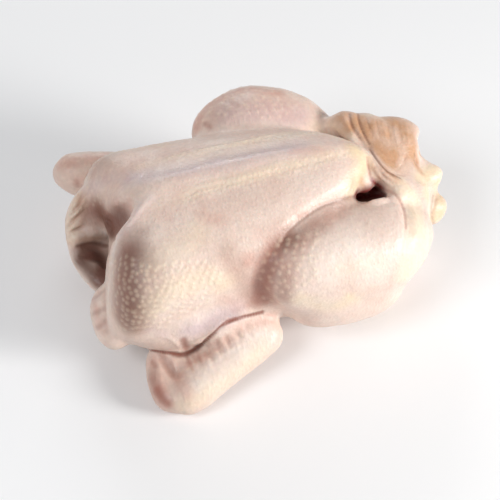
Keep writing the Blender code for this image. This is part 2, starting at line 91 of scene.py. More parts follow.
# Folds and ridges of the skin: half width and depth in mm (a ridge has a depth below 0), then the line
# that it follows, in pixels of the picture
FOLDS = {
    "breast_and_leg": [
        (2.2, 0.5, [(283, 241), (290, 230), (302, 219), (316, 209), (330, 203), (343, 199), (354, 196)]),
        (1.6, 0.3, [(279, 247), (286, 236)]),
        (4.0, -2.6, [(368, 204), (378, 203), (390, 199)]),
        (1.6, 0.9, [(344, 199), (352, 198), (360, 197)]),
    ],
    "breast_and_wing": [
        (2.2, 1.0, [(148, 349), (158, 351), (170, 353), (182, 355), (193, 351), (203, 343), (212, 335),
                    (222, 326), (234, 319), (248, 316), (263, 311)]),
        (2.0, 0.7, [(218, 322), (226, 321), (234, 319)]),
        (4.0, 0.5, [(184, 337), (183, 344), (188, 352)]),
        (2.4, -0.5, [(160, 336), (170, 339), (177, 345), (182, 352)]),
        (7.0, -1.2, [(192, 338), (204, 331), (216, 324), (232, 313)]),
        (5.0, -0.7, [(186, 327), (200, 322)]),
        (1.8, 0.25, [(196, 336), (210, 327), (224, 317)]),
    ],
    "wing": [
        (4.0, 0.7, [(160, 354), (164, 362), (169, 370), (175, 377)]),
        (3.5, 0.4, [(178, 360), (181, 370), (180, 379)]),
        (2.6, -0.6, [(172, 357), (176, 366), (176, 375)]),
        (1.7, 0.55, [(187, 356), (191, 365), (194, 372)]),
        (2.0, -0.6, [(191, 354), (195, 364), (198, 373)]),
        (1.7, 0.5, [(197, 351), (200, 359), (203, 366)]),
        (2.0, -0.65, [(201, 348), (206, 358), (210, 367)]),
        (1.7, 0.5, [(207, 345), (210, 353), (213, 360)]),
        (2.0, -0.65, [(211, 342), (215, 352), (220, 360)]),
        (1.7, 0.45, [(216, 340), (219, 347), (222, 353)]),
        (2.0, -0.6, [(220, 337), (224, 346), (229, 353)]),
        (1.7, 0.4, [(225, 335), (228, 342), (231, 347)]),
        (2.0, -0.5, [(230, 332), (234, 340), (238, 346)]),
        (1.7, 0.35, [(235, 329), (238, 335), (241, 341)]),
        (2.0, -0.3, [(240, 326), (244, 334), (247, 340)]),
        (2.2, 0.3, [(245, 324), (249, 331), (252, 337)]),
        (2.4, 0.4, [(151, 360), (155, 372), (153, 384)]),
        (2.6, -0.5, [(157, 372), (162, 386), (166, 398)]),
    ],
    "neck": [
        (10.0, 1.8, [(86, 206), (97, 213), (108, 221), (118, 225), (126, 217)]),
        (5.0, 1.4, [(101, 221), (107, 227), (111, 233)]),
        (3.0, -0.9, [(152, 197), (142, 206), (131, 220), (120, 233), (113, 246), (110, 268), (107, 292)]),
        (4.4, -2.0, [(68, 240), (80, 235), (92, 233), (104, 235)]),
        (3.4, 1.8, [(72, 251), (84, 247), (96, 247), (107, 249)]),
        (3.0, -0.9, [(80, 250), (76, 257), (82, 264), (92, 269)]),
        (2.6, 0.8, [(80, 256), (92, 258), (104, 262)]),
        (2.4, -0.6, [(88, 263), (98, 266), (106, 272)]),
        (2.2, 1.2, [(68, 236), (76, 230), (84, 228)]),
        (2.4, -1.0, [(67, 231), (75, 226), (83, 222)]),
        (2.2, 1.2, [(67, 226), (75, 219), (82, 214)]),
        (2.4, -1.0, [(69, 220), (76, 213), (82, 208)]),
        (2.2, 1.1, [(71, 215), (77, 207), (82, 200)]),
        (2.4, -0.8, [(74, 207), (79, 200)]),
        (2.0, 0.7, [(77, 203), (82, 196), (87, 191)]),
        (2.8, 0.8, [(88, 300), (96, 296), (103, 290)]),
        (2.2, -0.6, [(90, 307), (98, 303), (105, 297)]),
        (2.8, 0.8, [(90, 314), (98, 311), (104, 308)]),
        (2.2, -0.6, [(94, 321), (101, 318), (105, 314)]),
        (2.6, 0.7, [(94, 328), (102, 325), (106, 322)]),
        (2.2, 0.8, [(105, 284), (104, 300), (105, 316), (107, 332)]),
        (1.8, -0.5, [(108, 284), (107, 300), (108, 318), (110, 334)]),
        (1.6, -0.3, [(113, 290), (112, 306), (113, 322), (117, 336)]),
    ],
    "hocks": [
        (1.8, 0.9, [(349, 112), (350, 121), (354, 131), (361, 140)]),
        (1.6, 0.7, [(357, 113), (360, 125), (365, 137), (371, 147)]),
        (1.5, 0.45, [(366, 116), (369, 127), (373, 137)]),
        (1.5, 0.4, [(376, 119), (378, 130), (381, 141)]),
        (1.5, 0.35, [(387, 121), (389, 132), (392, 142)]),
        (1.5, 0.35, [(398, 121), (400, 132), (402, 143)]),
        (1.6, -0.4, [(382, 120), (384, 131), (387, 142)]),
        (1.6, -0.4, [(393, 120), (395, 132), (398, 144)]),
        (1.6, -0.35, [(405, 122), (407, 133), (408, 144)]),
        (2.0, -0.5, [(343, 111), (345, 121), (350, 131)]),
        (1.8, -0.5, [(354, 112), (356, 123), (361, 134), (368, 145)]),
        (1.8, 0.9, [(369, 147), (374, 156), (382, 166), (391, 174), (401, 179)]),
        (1.5, 0.5, [(381, 163), (388, 170), (396, 174), (403, 175)]),
        (1.5, 0.4, [(378, 170), (386, 178), (395, 182)]),
        (1.8, -0.4, [(374, 163), (383, 173), (393, 180)]),
        (2.0, -0.6, [(370, 158), (376, 171), (386, 182), (397, 190)]),
        (1.5, 0.35, [(398, 170), (404, 162), (407, 152)]),
        (1.5, 0.7, [(367, 157), (368, 167), (370, 176)]),
        (1.5, 0.4, [(373, 157), (377, 166), (383, 174)]),
        (1.5, 0.35, [(380, 150), (388, 158), (396, 163)]),
        (1.5, 0.5, [(416, 149), (423, 157), (431, 161)]),
        (1.5, 0.35, [(424, 152), (428, 157), (433, 159)]),
        (1.6, 0.35, [(386, 191), (395, 195), (401, 204), (404, 216), (405, 230), (404, 246), (401, 262)]),
        (2.0, 0.45, [(438, 193), (434, 204), (432, 214), (432, 224)]),
        (2.0, 0.2, [(420, 190), (424, 204), (425, 220), (424, 238)]),
        (1.5, 0.3, [(413, 176), (420, 182), (430, 184)]),
        (2.4, -0.4, [(340, 131), (350, 139), (360, 147), (367, 158)]),
    ],
    "far_leg": [
        (1.6, 0.15, [(244, 102), (250, 111), (256, 120)]),
        (1.6, 0.18, [(252, 100), (259, 110), (266, 120)]),
        (1.6, 0.20, [(261, 99), (268, 109), (275, 120)]),
        (1.6, 0.20, [(270, 100), (277, 109), (283, 119)]),
        (1.6, 0.18, [(279, 101), (285, 109), (291, 118)]),
    ],
    "breast": [
        (2.2, 0.25, [(188, 195), (200, 189), (214, 186), (228, 184), (240, 181)]),
        (2.0, 0.20, [(183, 190), (196, 184), (210, 180), (228, 176), (246, 171), (262, 165), (280, 159)]),
        (4.5, -0.30, [(186, 192), (200, 186), (216, 182), (232, 179), (250, 175), (268, 170), (290, 164),
                      (312, 158), (330, 153), (346, 147)]),
        (2.0, 0.20, [(250, 178), (270, 174), (292, 168), (314, 162), (334, 157)]),
        (2.2, -0.35, [(196, 151), (214, 147), (236, 143), (262, 137), (288, 131)]),
        (2.0, 0.30, [(200, 155), (222, 149), (246, 144), (270, 140)]),
        (2.0, 0.4, [(355, 178), (352, 188), (350, 195)]),
    ],
}

# Rows of feather follicles: the corners of a patch and the way that its rows run, in pixels, then the
# spacing along and across the rows in pixels, and the half width and height of a follicle in mm
TRACTS = {
    "near_flank": ([(134, 264), (160, 262), (196, 256), (224, 274), (216, 300), (182, 318), (152, 332),
                    (132, 330)], (0.42, -0.91), 5.6, 6.8, 1.7, 0.44),
    "flank_edge": ([(110, 258), (134, 256), (133, 330), (117, 334)], (0.10, -0.99), 5.4, 5.8, 1.7, 0.36),
    "knee": ([(258, 268), (270, 246), (292, 230), (316, 232), (324, 256), (312, 286), (286, 304),
              (262, 300)], (0.25, -0.97), 7.4, 8.2, 1.8, 0.36),
    "near_leg": ([(300, 226), (350, 210), (388, 222), (392, 270), (360, 306), (320, 300)],
                 (0.25, -0.97), 8.6, 9.6, 1.7, 0.22),
    "breast_side": ([(150, 215), (180, 200), (232, 192), (250, 230), (240, 262), (190, 258), (150, 260)],
                    (0.42, -0.91), 7.6, 8.6, 1.5, 0.20),
    "keel_line": ([(182, 196), (240, 178), (300, 160), (348, 146), (352, 156), (300, 172), (240, 190),
                   (190, 204)], (0.95, -0.31), 5.4, 4.8, 1.4, 0.30),
    "far_line": ([(150, 164), (196, 149), (260, 135), (300, 128), (300, 136), (240, 150), (196, 160)],
                 (0.96, -0.24), 5.4, 4.8, 1.4, 0.25),
    "far_leg": ([(196, 128), (204, 104), (232, 90), (276, 92), (300, 104), (284, 118), (236, 116)],
                (0.5, 0.86), 6.6, 8.0, 1.6, 0.25),
    "neck": ([(78, 190), (110, 162), (140, 170), (138, 192), (116, 204), (84, 210)],
             (0.3, -0.95), 5.2, 5.6, 1.4, 0.20),
    "near_wing": ([(182, 366), (204, 352), (246, 326), (268, 322), (262, 342), (214, 380), (176, 400)],
                  (0.84, -0.54), 6.4, 6.8, 1.5, 0.25),
    "far_wing": ([(60, 160), (80, 152), (110, 152), (92, 176), (74, 182)], (0.9, 0.3), 6.0, 6.0, 1.4, 0.25),
    "hocks": ([(374, 124), (406, 122), (414, 146), (400, 170), (382, 158)], (0.3, 0.95), 7.5, 8.5, 1.4, 0.12),
}
# How far a follicle strays from its row, the height above which the mesh round it is finer, the height at
# which it has its full colour, and the reach of the finer mesh
JITTER = 0.27
STRONG_FOLLICLE = 0.00026
FULL_FOLLICLE = 0.0004
FOLLICLE_MARGIN = 0.0024
# A follicle with a lower Y than this has a twin on the far side, if the skin there is this close to it
MIRROR_FROM = -0.012
MIRROR_GAP = 0.02

# Where each colour lies: half width in mm, strength, then a line in pixels of the picture. The shade colour
# is painted shade, and some strokes of the others are painted shade or painted highlights, as marked
COLOURS = {
    "pale": [
        # Painted highlight on the lit middle of the near leg
        (20, 0.9, [(330, 264), (352, 250), (372, 262)]),
        (13, 1.0, [(198, 384), (226, 364), (260, 338)]),
        # Painted highlight on the top of the collar roll
        (6, 1.0, [(70, 236), (86, 231), (104, 233)]),
        (6, 0.7, [(94, 296), (99, 310), (105, 326)]),
        # Painted light on the left of the collar, where it faces the light
        (8, 1.0, [(70, 200), (70, 216), (72, 234)]),
        # Painted sheen along the glossy web ridge
        (4, 0.9, [(150, 197), (140, 207), (130, 221), (121, 233), (115, 246), (112, 262)]),
        (2.2, 0.7, [(109, 286), (108, 302), (109, 320), (112, 334)]),
        # Painted highlight along the breast's edge above the crease with the leg
        (12, 0.25, [(270, 216), (300, 200), (330, 184)]),
        # Painted highlight on the glossy bulge beside the wing's crease
        (10, 0.4, [(190, 324), (210, 318), (232, 308)]),
    ],
    "keel": [
        (11, 0.9, [(130, 180), (160, 174), (200, 166), (240, 158), (270, 151), (296, 146)]),
        (8, 0.5, [(88, 190), (110, 178), (140, 175)]),
        (13, 0.9, [(226, 112), (258, 110), (296, 114)]),
        (11, 1.0, [(190, 332), (206, 326), (220, 318), (236, 310)]),
        (6, 0.4, [(150, 330), (166, 334)]),
        (6, 0.45, [(150, 200), (140, 207), (130, 222), (119, 234)]),
    ],
    "fat": [
        (6, 0.4, [(184, 198), (200, 190), (226, 183), (252, 176), (280, 168), (308, 161), (332, 155),
                  (350, 150)]),
        (5, 0.3, [(140, 166), (170, 158), (200, 151), (230, 145), (262, 138), (290, 133), (330, 133)]),
        (11, 1.0, [(356, 150), (364, 160), (360, 174), (352, 186)]),
        (13, 0.45, [(124, 326), (150, 308), (176, 290), (205, 280), (225, 282)]),
        (12, 0.3, [(150, 262), (180, 250), (196, 232)]),
        (12, 0.6, [(402, 184), (412, 200), (418, 222), (416, 246), (408, 272)]),
        (9, 1.0, [(422, 178), (436, 172), (440, 204), (436, 218)]),
        # Painted warm light on the collar
        (9, 0.4, [(70, 236), (74, 218), (80, 202)]),
        (10, 0.5, [(352, 300), (330, 306), (300, 300)]),
        (5, 0.6, [(348, 296), (356, 300)]),
        (10, 0.4, [(182, 406), (206, 394), (236, 374), (262, 350)]),
        (8, 0.2, [(340, 270), (380, 262)]),
    ],
    "flush": [
        # Pink-brown of the knee, deepened as painted shade in its valley
        (12, 1.0, [(264, 298), (264, 274), (274, 252), (286, 240)]),
        (9, 0.55, [(284, 296), (290, 262), (302, 240), (320, 224), (342, 210)]),
        (9, 0.9, [(196, 126), (204, 110), (222, 97), (246, 90), (276, 92)]),
        (14, 0.45, [(216, 112), (250, 104), (290, 108)]),
        # Painted shade, warm: on the dark flank turned from the light, and in the neck's valley
        (14, 0.7, [(123, 258), (123, 290), (124, 324)]),
        (20, 0.6, [(98, 214), (112, 220), (124, 210)]),
        (6, 0.5, [(188, 364), (204, 356), (222, 344), (240, 332)]),
        (5, 0.6, [(162, 358), (168, 368), (174, 376)]),
        (6, 0.5, [(240, 330), (256, 322), (272, 318)]),
        (8, 0.6, [(152, 362), (156, 378), (162, 392)]),
        (8, 0.5, [(172, 366), (180, 380), (186, 392)]),
        (9, 0.6, [(62, 164), (80, 160), (104, 156)]),
        (7, 0.4, [(222, 300), (240, 306), (256, 302)]),
        (9, 0.35, [(228, 262), (244, 280), (246, 296)]),
        (6, 0.5, [(92, 300), (98, 316), (104, 330)]),
        (8, 0.4, [(200, 212), (220, 220)]),
        (6, 0.5, [(374, 146), (384, 152)]),
        (10, 0.3, [(300, 152), (326, 148), (346, 142)]),
        (14, 0.3, [(108, 172), (150, 160), (190, 150)]),
    ],
    "tan": [
        (13, 1.0, [(378, 126), (398, 124), (408, 136)]),
        (11, 0.6, [(409, 146), (406, 158), (398, 168)]),
        (12, 0.85, [(386, 136), (392, 150), (388, 164)]),
        (7, 0.9, [(408, 128), (412, 140), (412, 154)]),
        (5, 0.3, [(352, 176), (354, 186)]),
        (10, 1.0, [(342, 116), (348, 126), (360, 120), (368, 136), (378, 146), (388, 158)]),
        (7, 0.8, [(384, 168), (396, 178)]),
        (5, 0.9, [(420, 153), (427, 158), (433, 163)]),
        (5, 0.5, [(361, 180), (364, 186)]),
        (6, 0.5, [(372, 160), (374, 170), (378, 178)]),
        (12, 0.22, [(356, 150), (364, 162), (358, 178)]),
        (9, 0.35, [(426, 178), (438, 188), (441, 212)]),
        # Painted warm light on the collar
        (8, 0.25, [(68, 234), (73, 216), (79, 200)]),
        (5, 0.4, [(70, 244), (84, 240), (98, 238)]),
    ],
    "shade": [
        (16, 0.9, [(100, 214), (109, 220), (117, 223), (123, 217)]),
        (10, 1.0, [(84, 254), (96, 256), (103, 266), (100, 280)]),
        (8, 0.9, [(80, 262), (90, 272), (98, 282)]),
        (3, 0.8, [(78, 246), (92, 243), (106, 246)]),
        (7, 0.9, [(104, 222), (109, 228), (112, 234)]),
        (2.4, 0.15, [(91, 300), (98, 296), (105, 290)]),
        (2.4, 0.15, [(93, 314), (99, 311), (104, 309)]),
        (2.4, 0.15, [(97, 328), (102, 326)]),
        (20, 0.85, [(126, 258), (127, 286), (127, 308), (128, 320)]),
        (14, 0.4, [(144, 256), (148, 280), (144, 306)]),
        (9, 0.2, [(160, 262), (164, 286), (156, 308)]),
        (8, 0.3, [(140, 232), (140, 256), (146, 268)]),
        (1.7, 0.5, [(285, 238), (292, 229), (306, 217), (322, 207), (340, 200), (354, 196)]),
        (7, 0.4, [(290, 246), (308, 226), (330, 211), (352, 203)]),
        (12, 0.6, [(262, 298), (264, 274), (276, 252), (290, 238)]),
        (10, 0.3, [(282, 298), (286, 268), (300, 244), (320, 226)]),
        (10, 0.25, [(228, 252), (240, 272), (246, 292)]),
        (2.0, 1.0, [(150, 350), (170, 353), (184, 354), (196, 349), (206, 340), (222, 325), (240, 318),
                    (262, 312)]),
        (4.0, 0.2, [(184, 341), (187, 349)]),
        (4.5, 0.3, [(162, 356), (168, 366), (174, 374)]),
        (6, 0.24, [(196, 341), (208, 331), (220, 322), (236, 313)]),
        (3.4, 0.7, [(174, 354), (186, 354), (198, 347)]),
        (1.4, 0.5, [(350, 114), (352, 124), (360, 138)]),
        (1.4, 0.6, [(358, 114), (361, 128), (369, 144)]),
        (1.5, 0.7, [(370, 150), (378, 161), (388, 172), (400, 178)]),
        (1.3, 0.45, [(421, 153), (426, 159)]),
        (6, 0.2, [(150, 372), (152, 386)]),
        (1.5, 0.4, [(433, 196), (431, 212), (434, 224)]),
    ],
    "blood": [
        (6.0, 0.8, [(157, 391), (162, 398), (167, 403)]),
        (6.0, 0.35, [(151, 378), (156, 388)]),
        # Red-brown of the knee, partly painted shade in its valley
        (12.0, 0.4, [(262, 298), (264, 280), (270, 262)]),
        # Painted shade in the crease between the leg and the band
        (1.6, 0.45, [(386, 190), (395, 194), (401, 203), (405, 214), (406, 228)]),
        (2.0, 0.25, [(187, 356), (191, 364)]),
        (2.0, 0.2, [(197, 351), (201, 359)]),
        # Painted shade in the notch beside the wing
        (3.4, 0.6, [(184, 339), (186, 348)]),
        # Painted shade, warm, on the dark flank turned from the light
        (20, 0.14, [(126, 262), (126, 290), (128, 318)]),
        # Painted shade along the crease between the breast and the wing
        (1.9, 0.5, [(150, 350), (170, 353), (184, 354), (206, 340), (222, 325), (240, 318), (262, 312)]),
        # Painted shade in the fold between the breast's tip and the hock skin
        (1.4, 0.5, [(367, 158), (368, 167), (370, 176)]),
        (3.0, 0.5, [(205, 124), (210, 127)]),
        (3.0, 0.5, [(76, 181), (78, 186)]),
        (3.0, 0.35, [(300, 216), (306, 214)]),
        (2.5, 0.4, [(152, 362), (156, 366)]),
        # Painted shade in spots along the wing's crease
        (1.8, 0.4, [(226, 321), (235, 318)]),
        (1.6, 0.25, [(256, 313), (263, 311)]),
    ],
    "cavity": [
        (6, 1.0, [(356, 194), (368, 191), (380, 187)]),
        (2.6, 1.0, [(372, 180), (377, 185)]),
        (5, 1.0, [(356, 197), (368, 197), (381, 196)]),
        # Painted shade in the neck's hollow
        (8, 0.25, [(92, 256), (101, 258), (104, 268), (102, 278)]),
    ],
}

# The same colours on the sides that the picture doesn't show, and deep in the cavity: place and half
# width in mm, strength
HIDDEN_COLOURS = {
    "keel": [(-78, 2, 70, 14, 0.4), (10, 4, 2, 30, 0.3)],
    "fat": [(70, 10, 20, 26, 0.6), (100, -2, 36, 16, 0.5), (-30, 70, 40, 20, 0.5), (40, 64, 40, 26, 0.35),
            (-60, -20, 8, 24, 0.5), (-60, 24, 8, 24, 0.5), (104, -20, 50, 14, 0.4), (60, -50, 20, 24, 0.4)],
    "flush": [(98, -6, 40, 22, 0.35), (0, -40, 8, 26, 0.45), (10, 44, 10, 26, 0.45),
              (-90, 60, 40, 18, 0.5), (-6, 60, 60, 16, 0.5), (80, 30, 60, 20, 0.4),
              (-84, -80, 6, 18, 0.5), (-20, 0, 4, 24, 0.3)],
    "shade": [(-86, 2, 46, 16, 0.8), (92, 6, 52, 12, 0.6), (62, -14, 68, 10, 0.4), (-30, 58, 34, 10, 0.4),
              (84, -8, 50, 9, 0.5)],
    "cavity": [(52, -12, 63, 11, 1.0), (40, -8, 58, 14, 1.0), (-58, 2, 46, 10, 0.9)],
    "tan": [(92, 20, 76, 15, 0.7), (100, 10, 60, 12, 0.5)],
    "blood": [(108, -10, 62, 5, 0.6), (110, -20, 46, 5, 0.35), (-96, 84, 42, 6, 0.4)],
}
# How much of a near side's colour the far side has
FAR_SIDE_COLOURS = {"fat": 0.8, "flush": 0.8, "shade": 0.4}
# How much of the weaker of two colour lines still adds where they cross
CROSSING = 0.25

# How far each colour covers those below it: first the soft ones with ragged edges, then the clear ones,
# each with the tint that it takes. The fold layer is painted shade in the folds, tinted red-brown
RAGGED_LAYERS = {"pale": 0.95, "keel": 0.85, "fat": 0.85, "flush": 0.80, "tan": 0.95}
CLEAR_LAYERS = (("fold", "blood", 0.65), ("shade", "shade", 0.86), ("mound", "follicle", 0.32),
                ("blood", "blood", 0.85), ("cavity", "cavity", 1.0))

# Cells per metre of the skin's patterns, and per decimetre of the pores
BLOTCHES = 26
MOTTLE = 95
GRAIN = 420
CRINKLE = 900
PORES = 36
# The map of the pores runs round the bird about a line at this height, at this mean distance from it
ROUND_HEIGHT = 0.045
ROUND_REACH = 0.06
MAP_SCALE = 10

# Place, width and tint of each lamp
LAMPS = {
    "key": ((0.90, -0.66, 0.42), 0.42, (1.0, 0.99, 0.975)),
    "fill": ((-0.75, -0.35, 0.90), 0.6, (0.97, 0.98, 1.0)),
    "back": ((0.10, 1.05, 0.55), 0.6, (0.98, 0.99, 1.0)),
}
LAMP_TARGET = (0, 0, 0.05)
FLOOR_HEIGHT = -0.0004


def srgb(red, green, blue):
    """A colour as the eye reads it, from 0 to 255, turned into light."""
    return tuple(((c / 255 + 0.055) / 1.055) ** 2.4 for c in (red, green, blue))


def view_axes():
    """The camera's right, up and backward directions."""
    turn, rise = CAMERA_TURN, CAMERA_RISE
    back = Vector((math.sin(turn) * math.cos(rise), -math.cos(turn) * math.cos(rise), math.sin(rise)))
    right = Vector((math.cos(turn), math.sin(turn), 0))
    return right, back.cross(right), back


def sight(pixel):
    """The camera's place and the direction in which it sees a pixel of the picture."""
    right, up, back = view_axes()
    across = (pixel[0] - PICTURE / 2) / PICTURE * SENSOR / LENS
    down = (pixel[1] - PICTURE / 2) / PICTURE * SENSOR / LENS
    return CAMERA_TARGET + back * CAMERA_DISTANCE, (right * across - up * down - back).normalized()


def on_skin(skin, pixel):
    """The place on the skin that the camera sees at a pixel, or the nearest one to its line of sight."""
    eye, way = sight(pixel)
    place = skin.ray_cast(eye, way)[0]
    if place is None:
        place = skin.find_nearest(eye + way * CAMERA_DISTANCE)[0]
        place = skin.find_nearest(eye + way * (place - eye).length)[0]
    return place


def smooth_line(points, steps):
    """Points evenly along a Catmull-Rom curve through the given ones."""
    rows = np.array(points, float)
    padded = np.vstack([2 * rows[0] - rows[1], rows, 2 * rows[-1] - rows[-2]])
    place = np.linspace(0, len(rows) - 1, steps * (len(rows) - 1) + 1)
    index = np.minimum(place.astype(int), len(rows) - 2)
    t = (place - index)[:, None]
    a, b, c, d = (padded[index + k] for k in range(4))
    return 0.5 * (2 * b + (c - a) * t + (2 * a - 5 * b + 4 * c - d) * t**2
                  + (3 * b - a - 3 * c + d) * t**3)


def bake_modifiers(obj):
    """Gives the object the mesh that its modifiers make."""
    graph = bpy.context.evaluated_depsgraph_get()
    graph.update()
    mesh = bpy.data.meshes.new_from_object(obj.evaluated_get(graph))
    obj.modifiers.clear()
    obj.data = mesh


def skin_tree(mesh):
    return BVHTree.FromPolygons([v.co for v in mesh.vertices], [p.vertices[:] for p in mesh.polygons])


def read_points(mesh):
    points = np.empty(len(mesh.vertices) * 3)
    mesh.vertices.foreach_get("co", points)
    return points.reshape(-1, 3)


def read_normals(mesh):
    normals = np.empty(len(mesh.vertices) * 3)
    mesh.vertex_normals.foreach_get("vector", normals)
    return normals.reshape(-1, 3)


def write_points(mesh, points):
    mesh.vertices.foreach_set("co", points.ravel())
    mesh.update()


def closeness(points, line, reach):
    """Per vertex: 1 on the line, down to 0 at its reach; also the nearest step of the line."""
    value = np.zeros(len(points))
    step = np.zeros(len(points), int)
    box = np.all((points > line.min(0) - reach) & (points < line.max(0) + reach), axis=1)
    near = np.flatnonzero(box)
    if len(near):
        gaps = np.linalg.norm(points[near, None, :] - line[None, :, :], axis=2)
        step[near] = gaps.argmin(axis=1)
        value[near] = np.clip(1 - (gaps.min(axis=1) / reach) ** 2, 0, 1) ** 2
    return value, step


def follow_skin(skin, pixels):
    """A line drawn in the picture, laid onto the skin."""
    return np.array([on_skin(skin, pixel) for pixel in smooth_line(pixels, STEPS_A_POINT)])


def inside_patch(patch, x, y):
    """True if the pixel lies inside the patch's corners."""
    inside = False
    for (x0, y0), (x1, y1) in zip(patch, patch[1:] + patch[:1]):
        if (y0 > y) != (y1 > y) and x < (x1 - x0) * (y - y0) / (y1 - y0) + x0:
            inside = not inside
    return inside


def base_skin():
    """The bird's closed skin, evenly meshed, from a copy of its CAD solid."""
    bm = bmesh.new()
    bm.from_mesh(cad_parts[BIRD].data)
    bmesh.ops.remove_doubles(bm, verts=bm.verts, dist=DOUBLE)
    mesh = bpy.data.meshes.new("bird_skin")
    bm.to_mesh(mesh)
    bm.free()
    obj = bpy.data.objects.new("bird_skin", mesh)
    bpy.context.scene.collection.objects.link(obj)
    rounding = obj.modifiers.new("rounding", "SUBSURF")
    rounding.levels = rounding.render_levels = 1
    remesh = obj.modifiers.new("even_mesh", "REMESH")
    remesh.mode = "VOXEL"
    remesh.voxel_size = SKIN_GRAIN
    smooth = obj.modifiers.new("flesh", "SMOOTH")
    smooth.iterations = FLESH_PASSES
    smooth.factor = 0.5
    bake_modifiers(obj)
    return obj


def refine(obj, mask):
    """Divides the faces where the mask is set, so that they can hold finer detail."""
    bm = bmesh.new()
    bm.from_mesh(obj.data)
    bm.verts.ensure_lookup_table()
    faces = [face for face in bm.faces if all(mask[vert.index] for vert in face.verts)]
    edges = list({edge for face in faces for edge in face.edges})
    made = bmesh.ops.subdivide_edges(bm, edges=edges, cuts=1, use_grid_fill=True)
    fresh = [item for item in made["geom_inner"] if isinstance(item, bmesh.types.BMVert)]
    around = {vert for item in fresh for edge in item.link_edges for vert in edge.verts}
    for _ in range(FINE_PASSES):
        bmesh.ops.smooth_vert(bm, verts=list(around), factor=0.5, use_axis_x=True, use_axis_y=True,
                              use_axis_z=True)
    bmesh.ops.triangulate(bm, faces=bm.faces)
    bm.to_mesh(obj.data)
    bm.free()


def detail_mask(points, skin):
    """Vertices near a fold or in a patch of follicles that stand out."""
    mask = np.zeros(len(points), bool)
    tree = mound_tree([mound for mound in follicle_mounds(skin) if mound[2] > STRONG_FOLLICLE])
    for number, point in enumerate(points):
        mask[number] = tree.find(point)[2] < FOLLICLE_MARGIN
    for strokes in FOLDS.values():
        for reach, _, pixels in strokes:
            value, _ = closeness(points, follow_skin(skin, pixels), (reach + FOLD_MARGIN) / 1000)
            mask |= value > 0
    return mask


def press_folds(obj, scale):
    """Presses the folds in and raises the ridges; returns how far each vertex moved outwards."""
    mesh = obj.data
    skin = skin_tree(mesh)
    points, normals = read_points(mesh), read_normals(mesh)
    shift = np.zeros(len(points))
    for strokes in FOLDS.values():
        for reach, depth, pixels in strokes:
            line = follow_skin(skin, pixels)
            value, step = closeness(points, line, reach / 1000)
            along = STROKE_END + (1 - 2 * STROKE_END) * step / (len(line) - 1)
            shift -= value * np.sqrt(np.sin(np.pi * along)) * depth / 1000 * scale
    write_points(mesh, points + normals * shift[:, None])
    return shift


def follicle_places(skin, patch, way, along, across):
    """Rows of places on the skin inside a patch of the picture, each a little out of line."""
    place_random = random.Random(str(patch))
    centre = np.mean(patch, axis=0)
    way = np.array(way) / np.linalg.norm(way)
    side = np.array((-way[1], way[0]))
    size = max(np.linalg.norm(np.array(corner) - centre) for corner in patch)
    rows = int(size / across) + 1
    steps = int(size / along) + 1
    places = []
    for row in range(-rows, rows + 1):
        for step in range(-steps, steps + 1):
            offset = 0.5 * (row % 2)
            u = (step + offset + place_random.uniform(-JITTER, JITTER)) * along
            v = (row + place_random.uniform(-JITTER, JITTER)) * across
            x, y = centre + way * u + side * v
            if inside_patch(patch, x, y):
                eye, ray = sight((x, y))
                hit = skin.ray_cast(eye, ray)
                if hit[0] is not None:
                    places.append(hit[0])
    return places


def follicle_mounds(skin):
    """Place, half width and height of each follicle, on the side that the picture shows and the far side."""
    mounds = []
    for patch, way, along, across, half, height in TRACTS.values():
        for place in follicle_places(skin, patch, way, along, across):
            mounds.append((place, half / 1000, height / 1000))
            if place.y < MIRROR_FROM:
                twin, _, _, gap = skin.find_nearest(Vector((place.x, -place.y, place.z)))
                if gap < MIRROR_GAP:
                    mounds.append((twin, half / 1000, height / 1000))
    return mounds


def mound_tree(mounds):
    tree = KDTree(len(mounds))
    for index, mound in enumerate(mounds):
        tree.insert(mound[0], index)
    tree.balance()
    return tree


def raise_follicles(obj, scale):
    """Small mounds where the feathers were; returns how much of their colour each vertex has."""
    mesh = obj.data
    points, normals = read_points(mesh), read_normals(mesh)
    mounds = follicle_mounds(skin_tree(mesh))
    tree = mound_tree(mounds)
    value = np.zeros(len(points))
    lift = np.zeros(len(points))
    widest = max(mound[1] for mound in mounds)
    for number, point in enumerate(points):
        _, index, gap = tree.find(point)
        half, height = mounds[index][1:]
        if gap < widest and gap < half:
            near = 1 - (gap / half) ** 2
            lift[number] = near**2 * height
            value[number] = near * min(1, height / FULL_FOLLICLE)
    write_points(mesh, points + normals * (lift * scale)[:, None])
    return value


def loose_skin(obj, amount):
    """Slight unevenness of soft flesh and fat under the skin."""
    mesh = obj.data
    points, normals = read_points(mesh), read_normals(mesh)
    wave = np.array([noise.noise(Vector(p) * LONG_WAVE) + SHORT_SHARE * noise.noise(Vector(p) * SHORT_WAVE)
                     for p in points])
    share = np.clip((points[:, 2] - LEVEL_UNDERSIDE) / GROWS_OVER, 0, 1)
    write_points(mesh, points + normals * (wave * share * amount)[:, None])


def paint(obj, name, values):
    """Stores a value from 0 to 1 on each vertex under a name that the material reads."""
    layer = obj.data.attributes.new(name, "FLOAT", "POINT")
    layer.data.foreach_set("value", np.clip(values, 0, 1).astype(np.float32))


